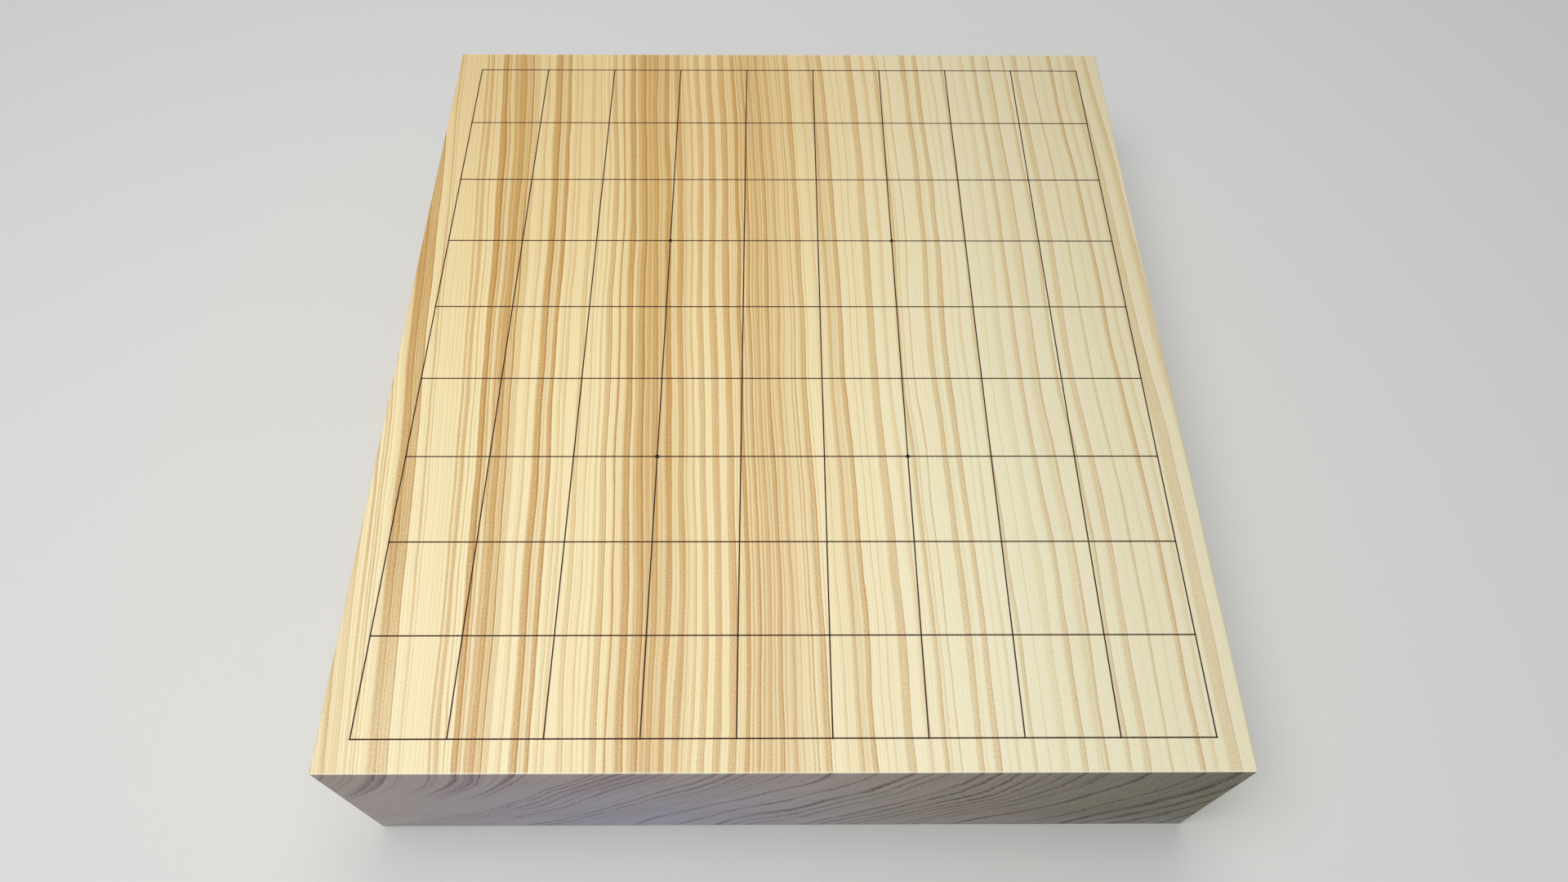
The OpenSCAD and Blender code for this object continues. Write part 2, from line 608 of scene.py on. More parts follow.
# %% The rings' wandering, and the growth coordinate
# Waves per mm across the board, along it and down into it
BEND_WAVES = (0.012, 0.006, 0.022)
KNEE_WAVES = (0.03, 0.012, 0.05)
SHIVER_WAVES = (0.12, 0.022, 0.05)
RAGGED_WAVES = (0.45, 0.03, 0.4)


def wandering(w, x, y, depth, across):
    """How far the rings stray from their curves, in mm."""
    here = (x, y, depth)
    deep = w.ease(depth, 0, 40)
    away = w.ease(y, -170, 20)
    bend = w.waves(here, BEND_WAVES)
    knees = w.waves(here, KNEE_WAVES)
    shiver = w.waves(here, SHIVER_WAVES, detail=3, roughness=0.5)
    ragged = w.waves(here, RAGGED_WAVES, detail=3, roughness=0.75)
    return w.total(
        w.mul(bend, w.sloped(deep, 0.8, w.sloped(away, 0.6, 4.0))),
        w.mul(knees, w.sloped(deep, 1.5, 0.6)),
        w.mul(shiver, w.sloped(deep, 0.9, -0.55)),
        w.mul(ragged, w.mul(w.ease(depth, 0, 10), w.sloped(across, 0.3, 1.4))),
    )


def growth_coordinate(w, x, y, depth, across):
    """Growth in mm, close to x across the middle of the top face."""
    along = w.mul(w.sub(y, SLAB_LOW.y / MM), MM / SLAB_SIZE.y)
    down = w.mul(depth, MM / SLAB_SIZE.z)
    drift = curves_across(w, x, along, DRIFT, DRIFT_PLACES, DRIFT_RANGE)
    lean = curves_across(w, x, down, LEAN, LEAN_PLACES, LEAN_RANGE)
    return w.total(x, drift, lean, wandering(w, x, y, depth, across))


print("curves for the rings:", len(DRIFT), "along the board,", len(LEAN), "down into it")

# %% [markdown]
# Softwood rings are lopsided. Each year starts pale, darkens into late wood, and stops
# dead where the next spring begins. The strong rings make the stripes that the eye picks
# out, so they are listed one by one, in millimetres of growth: the sharp outer edge, the
# width of the dark part and its strength. A fourth value says how strong the ring's line
# is where the grain is cut across, and without it the line follows the strength. For rings
# between -178 and 167 mm a program fitted the first three values to the brightness of the
# photo, and some were changed afterwards. The rings past those places weren't fitted.

# %% The strong rings
STRONG_RINGS = [
    (-187, 0.8, 0.4), (-184, 0.5, 0.25), (-179.4, 1.2, 0.55), (-176.5, 0.5, 0.16, 0.1),
    (-175, 0.6, 0.3, 0.15), (-171.3, 0.6, 0.52, 0.4), (-169.6, 0.4, 0.38), (-168.2, 0.6, 0.42),
    (-166.8, 0.5, 0.17, 0.1), (-164, 0.5, 0.21, 0.1), (-159.4, 3.2, 0.88), (-155.7, 3.4, 0.72),
    (-152.5, 0.4, 0.09), (-151.1, 0.5, 0.52, 0.5), (-149.6, 0.4, 0.26, 0.3), (-146.2, 0.4, 0.07, 0),
    (-143.9, 0.5, 0.11, 0.05), (-142.3, 0.4, 0.1, 0), (-140.4, 0.4, 0.15, 0.05),
    (-138.1, 0.8, 0.53, 0.75), (-135.5, 1.3, 0.56, 0.3), (-133.1, 0.6, 0.31, 0.1),
    (-131.8, 0.4, 0.11, 0), (-127.8, 2.2, 0.95), (-126.4, 1, 0.37, 0.3), (-123.7, 0.8, 0.52, 0.4),
    (-120.1, 2.7, 0.61), (-118.4, 0.6, 0.27, 0.2), (-117, 0.6, 0.75), (-114.3, 1.6, 0.32, 0.2),
    (-110.8, 0.6, 0.17, 0.1), (-109.3, 0.7, 0.41, 0.4), (-103.3, 2.6, 0.85), (-98.7, 1.2, 0.82),
    (-95.4, 1.1, 0.27, 0.1), (-93.3, 0.8, 0.32, 0.2), (-86.7, 1.8, 0.39, 0.15), (-85, 0.4, 0.12, 0),
    (-83.1, 0.5, 0.34, 0.15), (-81.1, 0.5, 0.16, 0.05), (-78.7, 0.7, 0.36, 0.2), (-74.7, 2, 0.58),
    (-71.1, 0.7, 0.67), (-65.6, 2.3, 0.76), (-62.1, 1.5, 0.36), (-60.1, 1.5, 0.61),
    (-57.9, 0.7, 0.25, 0.1), (-54.4, 1.8, 0.44), (-52.7, 0.5, 0.2, 0.1), (-48.9, 2, 0.69),
    (-47.4, 0.4, 0.13, 0.3), (-43.6, 2, 0.56, 0.35), (-41.9, 0.5, 0.19, 0.1),
    (-38.9, 0.8, 0.42, 0.1), (-34.5, 1.9, 0.58, 0.35), (-28.7, 2.3, 0.64, 1), (-22.7, 2.3, 0.68, 1),
    (-21, 0.5, 0.09, 0.1), (-17.6, 1.2, 0.67, 0.8), (-15.9, 0.5, 0.32, 0.15),
    (-13.5, 1, 0.53, 0.45), (-11.9, 0.5, 0.25, 0.1), (-9.8, 1, 0.39, 0.2), (-8.3, 0.4, 0.2, 0.05),
    (-5.5, 1.1, 0.51, 0.7), (-4, 0.5, 0.18, 0.1), (-0.9, 1.2, 0.44, 0.3), (1, 0.5, 0.17, 0.1),
    (4.3, 0.5, 0.3, 0.15), (5.7, 0.5, 0.34, 0.1), (10.1, 2, 0.64), (11.5, 0.4, 0.25),
    (16.3, 0.6, 0.21, 0.1), (21.6, 1.3, 0.41, 0.2), (23.5, 0.7, 0.1, 0.1), (26.7, 1.6, 0.64),
    (30.6, 0.6, 0.19, 0.1), (33.5, 0.6, 0.27, 0.2), (35, 0.4, 0.15, 0.05), (40.7, 2.8, 0.57, 1),
    (46.7, 1.3, 0.33, 0.8), (52.4, 1.3, 0.53, 0.9), (54, 0.8, 0.21, 0.3), (57, 0.4, 0.44, 0.45),
    (65.7, 1.9, 0.57), (67.2, 0.5, 0.13, 0.2), (71.7, 1.9, 0.6), (75.3, 0.5, 0.18, 0.3),
    (78.8, 0.9, 0.29, 0.9), (84.7, 1.1, 0.46, 1), (89.9, 0.5, 0.16, 1), (96.3, 1.8, 0.22, 0.6),
    (102.7, 1.4, 0.48, 0.9), (108.7, 1.4, 0.23, 0.5), (110.5, 1, 0.49), (118.6, 1, 0.44, 0.3),
    (125.5, 2.1, 0.42, 1), (129.8, 0.4, 0.06, 0.05), (133.5, 0.7, 0.39, 0.2),
    (138.8, 0.6, 0.13, 0.1), (144.3, 1.2, 0.59), (149.1, 1.1, 0.24, 0.4), (157.5, 4.3, 0.37, 1),
    (165, 1.8, 0.37, 0.9), (172, 0.8, 0.5, 1), (175.6, 0.5, 0.6, 0.4), (180.6, 1.2, 0.7),
    (184, 0.5, 0.4), (187.2, 0.6, 0.6), (190.5, 0.5, 0.4), (194.4, 1, 0.7), (197.5, 0.6, 0.5),
    (201, 0.5, 0.6), (206.5, 1.2, 0.7), (210, 0.6, 0.5), (215.5, 0.8, 0.6), (219, 1.4, 0.7),
    (226, 0.8, 0.6), (232, 1, 0.6), (240, 1.2, 0.6),
]
print("strong rings:", len(STRONG_RINGS))

# %% [markdown]
# A colour ramp turns each ring into a slope and a cliff. Its three channels carry three
# things at once: the stripe that shows along the grain, the thin line that shows across
# it, and the pale spring wood that follows. One ramp holds few stops and is stored
# coarsely, so the list is shared among several ramps, each over a short stretch of growth.

# %% A ramp for a few rings
RINGS_PER_RAMP = 6
# How a ring's outline runs, in mm: its slope, the line at its edge, and the cliff after it
SLOPE = 0.8
EDGE_LINE = 0.5
EDGE_PEAK = 0.05
CLIFF = 0.25
# From this growth on the rings darken more slowly
SLOW_FROM = 90
SLOW_SLOPE = 1.8
# A narrow ring's slope and line take no more than this share of its width
NARROW_SHARE = 0.7
SLOW_SHARE = 0.9
# The least distance between two stops of a ramp
STOP_GAP = 0.02
BODY_GAP = 0.1
# Darkness of the stripe where its slope ends, where its line starts, and at the very edge
BODY_DARK, LINE_DARK, EDGE_DARK = 0.72, 0.76, 1.35
# Strength of the line across the grain where the ring's slope ends, by the ring's width
NARROW_WIDTH = 1
NARROW_START, WIDE_START = 0.75, 0.15
LINE_START = 0.85


def line_strength(strength, listed):
    """How strong a ring's line is across the grain: as listed, or else by its stripe."""
    return listed[0] if listed else min(1.0, 1.7 * strength - 0.08)


def ring_outline(edge, width, strength, bold, last):
    """One ring's stops: a place, and the stripe, the line and the spring wood there."""
    start = edge - width
    line = edge - min(EDGE_LINE, NARROW_SHARE * width)
    if edge < SLOW_FROM:
        slope = min(SLOPE, NARROW_SHARE * width)
    else:
        slope = min(SLOW_SLOPE, SLOW_SHARE * width)
    rise = max(start - slope, last + STOP_GAP)
    body = max(start, rise + BODY_GAP)
    thin = NARROW_START if width < NARROW_WIDTH else WIDE_START
    stops = (
        (rise, 0.0, 0.0, 0.0),
        (body, BODY_DARK, thin, 0.0),
        (max(line, rise + BODY_GAP + STOP_GAP), LINE_DARK, LINE_START, 0.0),
        (edge - EDGE_PEAK, EDGE_DARK, 1.0, 0.0),
        (edge + CLIFF, 0.0, 0.0, 1.0),
    )
    paler = 0.4 + 0.6 * bold
    return [
        (place, (stripe * strength, cut * bold, spring * paler, 1))
        for place, stripe, cut, spring in stops
    ]


def ring_ramp(w, growth, rings, low, high):
    """A few neighbouring rings, as the stripe, the line and the spring wood."""
    made = w.tree.nodes.new("ShaderNodeValToRGB")
    w.join(w.mul(w.sub(growth, low), 1 / (high - low)), made.inputs["Fac"])
    ramp = made.color_ramp.elements
    ramp[0].color = ramp[1].color = (0, 0, 0, 1)
    last = low
    for edge, width, strength, *listed in rings:
        bold = line_strength(strength, listed)
        for place, colour in ring_outline(edge, width, strength, bold, last):
            ramp.new((place - low) / (high - low)).color = colour
        last = edge + CLIFF
    return w.parts(made.outputs["Color"])

# %% [markdown]
# The ramps are laid end to end, with a small gap so that no two of them overlap, and their
# outputs are simply added: outside its own stretch every ramp gives nothing.

# %% All the strong rings together
RAMP_LEAD = 1.0
RAMP_GAP = 0.1
LAST_STRETCH = 2


def ramp_edges(groups):
    """Where each ramp's stretch of growth starts, and where the last one ends."""
    edges = [groups[0][0][0] - groups[0][0][1] - RAMP_LEAD]
    for before, rings in zip(groups, groups[1:]):
        lead = rings[0][0] - rings[0][1] - RAMP_LEAD
        edges.append(max(lead, before[-1][0] + CLIFF + RAMP_GAP))
    return edges + [groups[-1][-1][0] + LAST_STRETCH]


def strong_rings(w, growth):
    """Every strong ring: its stripe, its line, and the spring wood after it."""
    starts = range(0, len(STRONG_RINGS), RINGS_PER_RAMP)
    groups = [STRONG_RINGS[start:start + RINGS_PER_RAMP] for start in starts]
    edges = ramp_edges(groups)
    ramps = [ring_ramp(w, growth, *job) for job in zip(groups, edges, edges[1:])]
    print("ramps for them:", len(ramps))
    return [w.total(*share) for share in zip(*ramps)]

# %% [markdown]
# Between the strong rings lie many weak ones. Their spacing follows how fast the tree
# grew, so a slow noise stretches and squeezes a plain sawtooth of growth. Each tooth stays
# pale for most of its year and darkens late, and another noise fades groups of teeth in
# and out. Some groups of rings are also tinted as a whole, where resin has soaked the wood
# between them. Those tints are listed by growth, and inside the range of the rings' fit
# their strengths come from that fit.

# %% The weak rings and the tinted zones
RINGS_PER_MM = 0.75
STRETCH = 4.0
LATE_DARKENING = 3.5
CLIFF_START = 0.9
ZONES = [
    (-190, 0.1), (-178, 0.14), (-171, 0), (-153, 0.01), (-138, 0.04), (-131, 0),
    (-126, 0.2), (-119, 0.31), (-114, 0.03), (-106, 0.04), (-102, 0.25), (-97, 0.03), (-76, 0.02),
    (-67, 0.17), (-58, 0.46), (-53, 0.34), (-47, 0.18), (-43, 0.24), (-38, 0.03), (-25, 0.08),
    (-17, 0.24), (-9, 0.33), (-1, 0.26), (5, 0.17), (12, 0.02), (18, 0.1), (23, 0.2), (28, 0),
    (70, 0), (105, 0.07), (155, 0.12), (220, 0.06),
]


def weak_rings(w, growth):
    """The darkness of the many thin rings between the strong ones."""
    squeeze = w.noise(w.vector(w.mul(growth, 0.035), 0.0, 0.0))
    years = w.total(w.mul(growth, RINGS_PER_MM), w.mul(squeeze, STRETCH))
    year = w.math("FRACT", years)
    rise = w.math("POWER", year, LATE_DARKENING)
    cliff = w.sub(1.0, w.ease(year, CLIFF_START, 1.0))
    fade = w.ease(w.noise(w.vector(w.mul(growth, 0.22), 3.0, 0.0)), -0.7, 0.3)
    return w.mul(w.mul(rise, cliff), fade)


def tinted_zones(w, growth):
    """A broad tint that rises and falls over groups of rings."""
    low, high = ZONES[0][0], ZONES[-1][0]
    made = w.tree.nodes.new("ShaderNodeValToRGB")
    w.join(w.mul(w.sub(growth, low), 1 / (high - low)), made.inputs["Fac"])
    ramp = made.color_ramp
    ramp.interpolation = "EASE"
    for place, tint in ZONES[1:-1]:
        ramp.elements.new((place - low) / (high - low))
    for stop, (place, tint) in zip(ramp.elements, ZONES):
        stop.color = (tint, tint, tint, 1)
    return made.outputs["Color"]

# %% [markdown]
# Everything that the finish needs to know about a point of the wood is gathered once:
# where it lies, whether the grain is cut across there, which ring it belongs to, and the
# small marks on top of the rings. Fibres run along the board and follow the rings, flecks
# are short dots on them, and clouds are slow changes of tone.

# %% The wood's own marks
# Between these two tilts of a face, the look goes over from along the grain to across it
ALONG_GRAIN, ACROSS_GRAIN = 0.6, 0.85
# Waves per mm of growth, along the board and down into it
FIBRE_WAVES = (1.6, 0.03, 1.6)
FLECK_WAVES = (2.0, 1.0, 2.0)
CLOUD_WAVES = (0.05, 0.008, 0.05)


class Wood:
    """What the finish knows about each point of the timber."""

    def __init__(self, w):
        place = w.parts(w.node("ShaderNodeTexCoord", out="Object"))
        self.x, self.y, z = [w.mul(part, 1 / MM) for part in place]
        self.depth = w.sub(TOP / MM, z)
        normal = w.parts(w.node("ShaderNodeTexCoord", out="Normal"))
        self.facing = w.math("ABSOLUTE", normal[1])
        self.across = w.ease(self.facing, ALONG_GRAIN, ACROSS_GRAIN)
        self.growth = growth_coordinate(w, self.x, self.y, self.depth, self.across)
        self.stripe, self.line, self.spring = strong_rings(w, self.growth)
        self.weak = weak_rings(w, self.growth)
        self.zone = tinted_zones(w, self.growth)
        here = (self.growth, self.y, self.depth)
        self.fibre = w.waves(here, FIBRE_WAVES, detail=4, roughness=0.65)
        self.fleck = w.waves(here, FLECK_WAVES, detail=2, roughness=0.75)
        self.cloud = w.waves(here, CLOUD_WAVES, detail=2)

# %% [markdown]
# Along the grain, early wood is a pale cream and late wood an amber that leans to brown
# where a ring is strongest. The board pales and cools towards its right side, partly as its
# sapwood does and partly with painted cool light. The far half is painted darker and warmer
# as painted shade, and the near end paler with a painted sheen, less of it left of the middle.
# Right after a ring's edge the spring wood is a touch paler. All of that is one darkness from
# 0 to 1 that mixes two colours, each of which was first mixed for its place on the board.

# %% The timber's colour along the grain
# The right-hand tones are the paler sapwood's own colour with painted cool light in them
CREAM_LEFT = srgb(244, 227, 176)
CREAM_RIGHT_COOL_LIGHT = srgb(231, 225, 187)
AMBER_LEFT = srgb(196, 151, 82)
AMBER_RIGHT_COOL_LIGHT = srgb(200, 166, 112)
BROWN = srgb(176, 128, 66)
# Painted shade: the darker, warmer tone of the far half
PAINTED_FAR_SHADE = srgb(205, 158, 84)
# Painted sheen: the pale tone laid on the near end and along the arris
PAINTED_SHEEN = srgb(255, 250, 224)
SPRING_WOOD = srgb(238, 227, 208)
# How far clouds, fibres and flecks change a stripe, and how far they darken all the wood
CLOUD_UNEVEN, FIBRE_UNEVEN, FLECK_UNEVEN = 0.15, 0.25, 0.6
CLOUD_DARK, FIBRE_DARK = 0.04, 0.1
# The same for flecks and weak rings, at the left, and the change on the way to the right
FLECK_DARK = (0.17, 0.11)
WEAK_DARK = (0.46, -0.34)
# How much the outermost bands have worn off by the near end
WORN_OFF = -0.4
# Shares of the spring wood and of the painted far shade, at the left and their change to the right
SPRING_SHARE = (0.15, 0.3)
FAR_SHADE_SHARE = (0.32, -0.2)
# Share of the painted sheen in the early wood at the near end, and its change left of the middle
SHEEN_SHARE = (0.32, -0.2)
# Share of the painted sheen in the amber at the near end
AMBER_SHEEN_SHARE = 0.07


def darkness(w, wood, to_right):
    """How dark the wood is along the grain: 0 is early wood, 1 is late wood."""
    uneven = w.total(
        1.0,
        w.mul(wood.cloud, CLOUD_UNEVEN),
        w.mul(wood.fibre, FIBRE_UNEVEN),
        w.mul(wood.fleck, FLECK_UNEVEN),
    )
    worn = w.mul(w.ease(wood.y, -90, -165), w.ease(wood.growth, -138, -155))
    stripe = w.mul(wood.stripe, w.mul(uneven, w.sloped(worn, 1.0, WORN_OFF)))
    weak = w.mul(wood.weak, w.sloped(to_right, *WEAK_DARK))
    fleck = w.mul(wood.fleck, w.sloped(to_right, *FLECK_DARK))
    fibre, cloud = w.mul(wood.fibre, FIBRE_DARK), w.mul(wood.cloud, CLOUD_DARK)
    return w.total(stripe, wood.zone, weak, fibre, fleck, cloud)


def early_wood(w, wood, to_right, near):
    """The pale colour between the rings, with painted sheen and painted shade in it."""
    # Paler and cooler to the right: partly sapwood, partly painted cool light
    cream = w.mix(to_right, CREAM_LEFT, CREAM_RIGHT_COOL_LIGHT)
    spring = w.mul(wood.spring, w.sloped(to_right, *SPRING_SHARE))
    cream = w.mix(spring, cream, SPRING_WOOD)
    # Painted shade: the far half is mixed towards a darker, warmer tone
    far_shade = w.mul(w.ease(wood.y, -60, 210), w.sloped(to_right, *FAR_SHADE_SHARE))
    cream = w.mix(far_shade, cream, PAINTED_FAR_SHADE)
    # Painted sheen: the near end is mixed towards a pale tone, less of it left of the middle
    left_of_middle = w.mul(w.ease(wood.x, -100, -60), w.ease(wood.x, 15, -30))
    painted_sheen = w.mul(near, w.sloped(left_of_middle, *SHEEN_SHARE))
    return w.mix(painted_sheen, cream, PAINTED_SHEEN)


def colour_along(w, wood):
    """The wood's colour where it shows along the grain."""
    to_right = w.ease(wood.growth, -20, 110)
    # The near end, where the painted sheen is laid on
    near = w.ease(wood.y, 60, -220)
    dark = darkness(w, wood, to_right)
    cream = early_wood(w, wood, to_right, near)
    # The amber also pales and cools to the right: partly sapwood, partly painted cool light
    amber = w.mix(to_right, AMBER_LEFT, AMBER_RIGHT_COOL_LIGHT)
    # Painted sheen on the amber at the near end
    amber = w.mix(w.mul(near, AMBER_SHEEN_SHARE), amber, PAINTED_SHEEN)

    # The far right corner has more contrast than the rest
    contrast = w.sloped(to_right, 1.1, w.sloped(w.ease(wood.y, 70, 180), 0.1, 0.25))
    face = w.mix(w.clamped(dark, contrast), cream, amber)
    face = w.mix(w.ease(dark, 0.8, 1.5), face, BROWN)
    outer_bands = w.mul(w.ease(wood.growth, -128, -165), w.clamped(dark, 0.3))
    return w.mix(outer_bands, face, BROWN)

# %% [markdown]
# Across the grain the wood drinks light, so it is greyer than the faces. Its ground goes
# from a warm grey at the left to an olive one at the right and is a little patchy. In the
# middle and at the left it is painted bluer with depth, as painted cool light, and near the
# underside it is painted paler and bluer still, painted light that lifts the shade by the
# floor. Just under the top, at the left, whole bands of late wood show in mauve, and they
# fade into a plain lower corner.

# %% The ground of the two ends
END_LEFT = srgb(188, 175, 165)
END_RIGHT = srgb(136, 131, 113)
# Painted cool light: the bluer tone lower down in the ends
END_PAINTED_COOL_LIGHT = srgb(176, 177, 199)
END_BLUSH = srgb(172, 152, 158)
END_MOSS = srgb(148, 156, 138)
# Painted light: the paler, bluer tone near the underside of the ends
END_PAINTED_LOW_LIGHT = srgb(225, 227, 241)
END_MAUVE = srgb(146, 124, 140)
PAINTED_COOL_SHARE, BLUSH_SHARE, PAINTED_LOW_SHARE = 0.7, 0.55, 0.2
# Share of the moss tone, and its change to the left
MOSS_SHARE = (0.5, -0.2)
# Waves per mm of growth, down into the board and across it
PATCH_WAVES = (0.06, 0.05, 0.02)


def end_ground(w, wood):
    """The colour between the lines of an end."""
    to_left = w.ease(wood.x, 30, -120)
    ground = w.mix(w.ease(wood.x, -20, 170), END_LEFT, END_RIGHT)
    middle_left = w.mul(w.ease(wood.x, 80, -60), w.ease(wood.x, -200, -70))
    # Painted cool light, growing with depth in the middle and at the left
    painted_cool = w.mul(w.ease(wood.depth, -25, 68), middle_left)
    ground = w.mix(w.mul(painted_cool, PAINTED_COOL_SHARE), ground, END_PAINTED_COOL_LIGHT)
    here = (wood.growth, wood.depth, wood.x)
    patchy = w.waves(here, PATCH_WAVES, detail=3, roughness=0.6)
    ground = w.mix(w.mul(w.ease(patchy, 0.0, 0.7), BLUSH_SHARE), ground, END_BLUSH)
    moss = w.mul(w.ease(patchy, 0.0, -0.7), w.sloped(to_left, *MOSS_SHARE))
    ground = w.mix(moss, ground, END_MOSS)
    # Painted light near the underside, paler and bluer, lifting the shade by the floor
    ground = w.mix(w.mul(w.ease(wood.depth, 66, 88), PAINTED_LOW_SHARE), ground, END_PAINTED_LOW_LIGHT)

    shallow = w.ease(wood.depth, 46, 12)
    fill = w.sloped(shallow, 0.05, w.sloped(to_left, 0.2, 0.6))
    bands = w.total(w.mul(wood.stripe, 0.8), wood.zone)
    return w.mix(w.clamped(bands, fill), ground, END_MAUVE)

# %% [markdown]
# On that ground each ring is a thin dark line. The lines come and go, are stronger and
# darker to the right, and die out low down at the left. Deeper in, the line is doubled by
# the edge of the spring wood, and irregular streaks stand for the weak rings. Last, cut
# fibres speckle the whole end with pale and dark dots.

# %% The lines of the two ends
END_LINE_LEFT = srgb(104, 84, 84)
END_LINE_RIGHT = srgb(44, 30, 8)
END_PALE = srgb(214, 208, 196)
FADED = 0.92
# The lines' strength: what all have, and what noise, the right half and speckles add
LINE_BASE, LINE_BROKEN, LINE_RIGHT, LINE_SPECKLE = 0.26, 0.56, 0.12, 0.45
# Waves per mm of growth, down into the board and across it, and for speckles of x, y and z
BROKEN_WAVES = (0.3, 0.07, 0.035)
STREAK_WAVES = (0.55, 0.03, 0.02)
SPECKLE_WAVES = (1.2, 1.2, 0.5)


def end_lines(w, wood, streaks, bold):
    """The rings' lines, the edges of spring wood after them, and the streaks between."""
    line = w.math("POWER", wood.line, w.sloped(bold, 1.8, -0.8))
    level = w.ease(wood.depth, 8, 45)
    after = w.mul(w.ease(wood.spring, 0.72, 1.0), w.mul(level, w.sloped(bold, 0.2, 0.8)))
    return w.total(line, after, w.mul(w.ease(streaks, 0.1, 0.9), w.sloped(bold, 0.1, 0.4)))


def colour_across(w, wood):
    """The wood's colour where it is cut across the grain."""
    here = (wood.growth, wood.depth, wood.x)
    broken = w.waves(here, BROKEN_WAVES, detail=3, roughness=0.65)
    streaks = w.waves(here, STREAK_WAVES, detail=4, roughness=0.7)
    speckle = w.waves((wood.x, wood.y, wood.depth), SPECKLE_WAVES, detail=3, roughness=0.75)

    ink = w.mix(w.ease(wood.x, -120, 110), END_LINE_LEFT, END_LINE_RIGHT)
    lines = end_lines(w, wood, streaks, bold=w.ease(wood.x, -190, -20))
    strength = w.total(
        LINE_BASE,
        w.mul(w.ease(broken, -0.4, 0.35), LINE_BROKEN),
        w.mul(w.ease(wood.x, -60, 60), LINE_RIGHT),
        w.mul(speckle, LINE_SPECKLE),
    )
    lower_left = w.mul(w.ease(wood.growth, -74, -88), w.ease(wood.depth, 16, 46))
    strength = w.mul(w.sub(1.0, w.mul(lower_left, FADED)), strength)
    end = w.mix(w.clamped(lines, strength), end_ground(w, wood), ink)

    dots = w.total(speckle, w.mul(streaks, 0.5))
    dots = w.mul(dots, w.sloped(w.ease(wood.x, -80, 120), 0.15, 0.17))
    end = w.mix(w.clamped(dots, 1.0), end, END_PALE)
    return w.mix(w.clamped(dots, -1.0), end, ink)

# %% [markdown]
# The slab's finish is planed and waxed timber. It goes over from the look along the grain
# to the look across it by how a face is turned, and the arris between them is painted a
# little paler, a painted highlight along the edge. Rings are slightly glossier than the wood
# between them and stand up by a few hundredths of a millimetre, because the plane cuts the
# soft early wood deeper.

# %% The timber's finish
TIMBER_SHINE = 0.18
TIMBER_ROUGH = 0.47
RING_ROUGHER, FIBRE_ROUGHER, END_ROUGHER = -0.08, 0.05, 0.35
RELIEF_STRENGTH = 0.12
RELIEF_HEIGHT = 0.1 * MM
# Share of the painted highlight along the arris
ARRIS_HIGHLIGHT = 0.5


def make_timber():
    material, w, shader = new_material("timber")
    wood = Wood(w)
    # Painted highlight: the arris is mixed towards the pale sheen tone
    arris = w.mul(w.ease(wood.facing, 0.1, 0.3), w.ease(wood.facing, 0.9, 0.7))
    colour = w.mix(wood.across, colour_along(w, wood), colour_across(w, wood))
    w.join(w.mix(w.mul(arris, ARRIS_HIGHLIGHT), colour, PAINTED_SHEEN), shader.inputs["Base Color"])

    rough = w.total(
        TIMBER_ROUGH,
        w.mul(wood.stripe, RING_ROUGHER),
        w.mul(wood.fibre, FIBRE_ROUGHER),
        w.mul(wood.across, END_ROUGHER),
    )
    w.join(rough, shader.inputs["Roughness"])
    shader.inputs["Specular IOR Level"].default_value = TIMBER_SHINE
    relief = w.total(w.mul(wood.stripe, 0.5), w.mul(wood.fibre, 0.35), w.mul(wood.fleck, 0.15))
    bump = {"Height": relief, "Strength": RELIEF_STRENGTH, "Distance": RELIEF_HEIGHT}
    w.join(w.node("ShaderNodeBump", bump), shader.inputs["Normal"])
    print("timber nodes:", len(w.tree.nodes))
    return material


TIMBER = make_timber()
slab.data.materials.append(TIMBER)

# %% [markdown]
# The lacquer is a very dark brown. It sets with a soft gloss that is never quite even, it
# thins to a warmer brown in places, and it is nearly black where it lies thick, on the
# humps and the star points.

# %% The lacquer's finish
LACQUER_DARK = srgb(52, 26, 26)
LACQUER_WARM = srgb(78, 46, 40)
LACQUER_THICK = srgb(26, 30, 28)
LACQUER_SHINE = 0.12
LACQUER_ROUGH = 0.5
# Height above the timber, in mm, over which it turns to its thick colour
THICK_FROM, THICK_TO = 0.18, 0.26
# Waves per mm of the changes in thickness and of the fine grit
THIN_WAVES = 0.12
GRIT_WAVES = (3.0, 3.0, 3.0)
GRIT_STRENGTH = 0.15
GRIT_HEIGHT = 0.02 * MM


def make_lacquer():
    material, w, shader = new_material("lacquer")
    place = w.parts(w.node("ShaderNodeTexCoord", out="Object"))
    x, y, z = [w.mul(part, 1 / MM) for part in place]
    thin = w.noise(w.vector(w.mul(x, THIN_WAVES), w.mul(y, THIN_WAVES), z), detail=2)
    grit = w.waves((x, y, z), GRIT_WAVES)
    colour = w.mix(w.ease(thin, -0.3, 0.8), LACQUER_DARK, LACQUER_WARM)
    colour = w.mix(w.ease(w.sub(z, TOP / MM), THICK_FROM, THICK_TO), colour, LACQUER_THICK)
    w.join(colour, shader.inputs["Base Color"])
    rough = w.total(LACQUER_ROUGH, w.mul(thin, 0.08), w.mul(grit, 0.05))
    w.join(rough, shader.inputs["Roughness"])
    shader.inputs["Specular IOR Level"].default_value = LACQUER_SHINE
    bump = {"Height": grit, "Strength": GRIT_STRENGTH, "Distance": GRIT_HEIGHT}
    w.join(w.node("ShaderNodeBump", bump), shader.inputs["Normal"])
    return material


LACQUER = make_lacquer()
for piece in file_lines + rank_lines + stars:
    piece.data.materials.append(LACQUER)
print("lacquered pieces:", len(file_lines + rank_lines + stars))

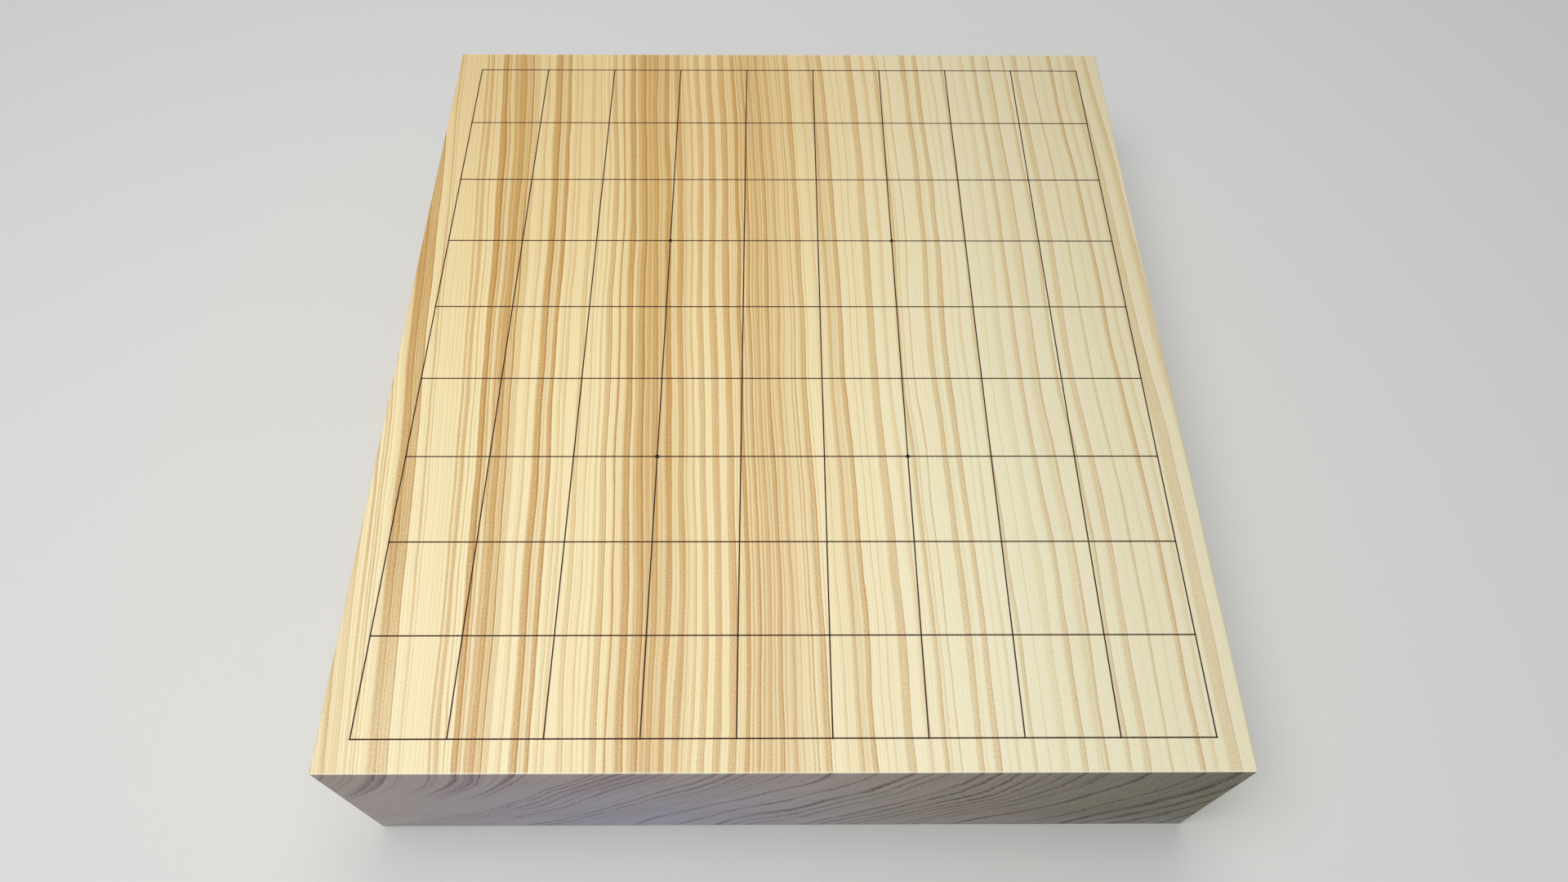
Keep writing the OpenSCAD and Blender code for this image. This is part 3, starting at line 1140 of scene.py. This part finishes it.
# %% [markdown]
# The board stands on a plain pale floor, under two broad soft lamps and an even pale sky.
# The stronger lamp hangs to the near left, the other over the far end, both high up, so
# that the top takes the light nearly square on and the near end falls into soft shade. Far
# off, the floor is seen as the sky, so that no horizon cuts the picture.

# %% Floor, sky and lamps
FLOOR_HALF = 30.0
FLOOR_COLOUR = srgb(222, 222, 220)
FLOOR_ROUGH = 0.9
# Distances from the board, in metres, over which the floor turns into the sky
FADE_START, FADE_END = 0.5, 2.4
# The sky's light, and the sky as it is seen
SKY_COLOUR = (0.96, 0.98, 1.0, 1.0)
SKY_STRENGTH = 0.36
SKY_SEEN = srgb(222, 224, 226)
# Place, what it is aimed at, width and watts of each lamp
LAMPS = {
    "key": ((-0.32, -0.28, 1.15), (-0.12, -0.15, 0.0), 0.6, 6.7),
    "fill": ((0.05, 0.35, 1.50), (0.0, 0.0, 0.0), 0.8, 4.75),
}
# The rays that meet the seen sky instead of its light
SEEN_BY = ("Is Camera Ray", "Is Glossy Ray", "Is Transmission Ray")


def add_floor():
    """The floor, which fades into the sky far off where the camera sees it."""
    start_clean()
    bpy.ops.mesh.primitive_plane_add(size=2 * FLOOR_HALF)
    floor = bpy.context.object
    floor.name = "floor"
    material, w, shader = new_material("floor")
    shader.inputs["Base Color"].default_value = FLOOR_COLOUR
    shader.inputs["Roughness"].default_value = FLOOR_ROUGH
    place = w.node("ShaderNodeTexCoord", out="Object")
    away = w.node("ShaderNodeVectorMath", {0: place}, out="Value", operation="LENGTH")
    seen = w.mul(w.ease(away, FADE_START, FADE_END), w.node("ShaderNodeLightPath"))
    haze = w.node("ShaderNodeEmission", {"Color": SKY_SEEN, "Strength": 1.0})
    surface = w.node("ShaderNodeMixShader", {0: seen, 1: shader.outputs[0], 2: haze})
    w.join(surface, w.tree.nodes["Material Output"].inputs["Surface"])
    floor.data.materials.append(material)


def add_sky():
    """An even sky, which looks paler than the light that it gives."""
    world = bpy.data.worlds.new("sky")
    bpy.context.scene.world = world
    world.use_nodes = True
    w = Wiring(world.node_tree)
    light = w.tree.nodes["Background"]
    light.inputs["Color"].default_value = SKY_COLOUR
    light.inputs["Strength"].default_value = SKY_STRENGTH
    seen = w.node("ShaderNodeBackground", {"Color": SKY_SEEN, "Strength": 1.0})
    rays = w.total(*[w.node("ShaderNodeLightPath", out=name) for name in SEEN_BY])
    mixed = w.node("ShaderNodeMixShader", {0: rays, 1: light.outputs[0], 2: seen})
    w.join(mixed, w.tree.nodes["World Output"].inputs["Surface"])


def add_lamp(name, place, aim, width, watts):
    """A round lamp that faces the point it is aimed at."""
    data = bpy.data.lights.new(name, "AREA")
    data.shape = "DISK"
    data.size = width
    data.energy = watts
    lamp = bpy.data.objects.new(name, data)
    bpy.context.scene.collection.objects.link(lamp)
    lamp.location = place
    direction = Vector(aim) - Vector(place)
    lamp.rotation_euler = direction.to_track_quat("-Z", "Y").to_euler()


add_floor()
add_sky()
for name, (place, aim, width, watts) in LAMPS.items():
    add_lamp(name, place, aim, width, watts)
bpy.context.scene.view_settings.view_transform = "Standard"
print("lamps:", len(LAMPS))
